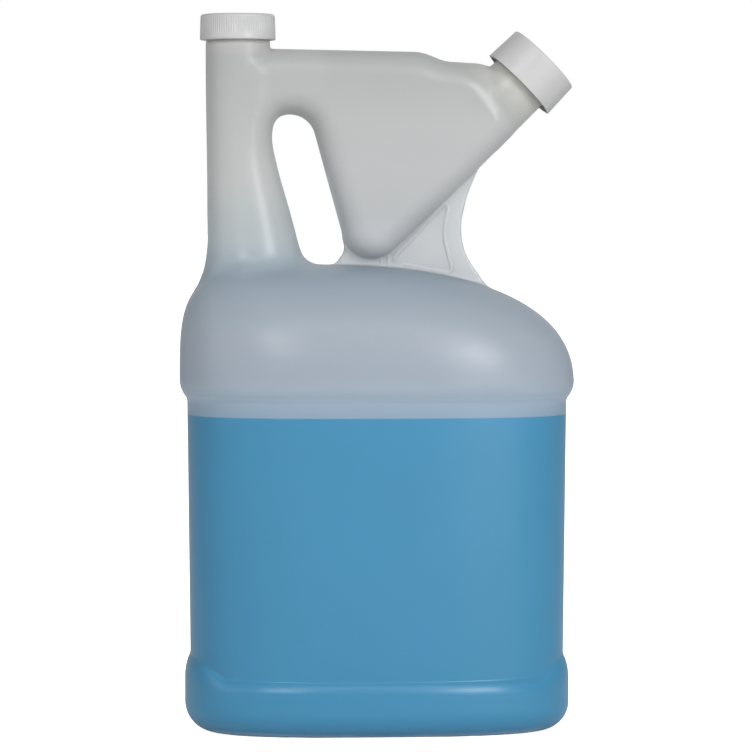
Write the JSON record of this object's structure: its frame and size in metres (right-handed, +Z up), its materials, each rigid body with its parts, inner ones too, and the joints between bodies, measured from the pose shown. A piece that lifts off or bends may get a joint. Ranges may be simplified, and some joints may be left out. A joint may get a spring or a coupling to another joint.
{
  "type": "detergent dispenser bottle",
  "caption": "Upright translucent detergent jug with a hollow handle, a ribbed fill cap and a dosing chamber that pours from an angled, capped spout.",
  "frame": {"origin": "centre of the overall width and depth, on the plane that the base stands on", "axes": "+Z up, +X towards the dosing spout, +Y through the thickness, away from the side first seen"},
  "size_m": [0.1898, 0.1212, 0.3427],
  "materials": {
    "natural_hdpe": "milky translucent blow-moulded skin",
    "blue_detergent": "still blue liquid",
    "white_cap": "satin moulded polypropylene",
    "liner_foam": "smooth closed-cell foam"
  },
  "bodies": {
    "bottle": {"bottle": "natural_hdpe", "detergent": "blue_detergent"},
    "fill_cap_liner": {"fill_cap_liner": "liner_foam"},
    "fill_cap": {"fill_cap": "white_cap"},
    "dosing_cap_liner": {"dosing_cap_liner": "liner_foam"},
    "dosing_cap_inner": {"dosing_cap_inner": "white_cap"},
    "dosing_cap_outer": {"dosing_cap_outer": "white_cap"}
  },
  "joints": [
    {"name": "fill_cap_lift", "type": "slide", "parent": "bottle", "child": "fill_cap_liner", "axis": [0, 0, 1], "range_m": [0, 0.0128]},
    {"name": "fill_cap_turn", "type": "hinge", "parent": "fill_cap_liner", "child": "fill_cap", "pos_m": [-0.0666, 0, 0.3402], "axis": [0, 0, 1], "range_deg": [0, 1080]},
    {"name": "dosing_cap_lift", "type": "slide", "parent": "bottle", "child": "dosing_cap_liner", "axis": [0.7071, 0, 0.7071], "range_m": [0, 0.017]},
    {"name": "dosing_cap_turn", "type": "hinge", "parent": "dosing_cap_liner", "child": "dosing_cap_inner", "pos_m": [0.0811, 0, 0.3216], "axis": [0.7071, 0, 0.7071], "range_deg": [0, 1440]},
    {"name": "dosing_cap_push", "type": "slide", "parent": "dosing_cap_inner", "child": "dosing_cap_outer", "axis": [-0.7071, 0, -0.7071], "range_m": [0, 0.001], "stiffness_N_per_m": 400, "springref_m": -0.0005}
  ],
  "couplings": [
    {"joint": "fill_cap_lift", "follows": "fill_cap_turn", "m_per_rad": 0.00067376},
    {"joint": "dosing_cap_lift", "follows": "dosing_cap_turn", "m_per_rad": 0.00067376}
  ]
}
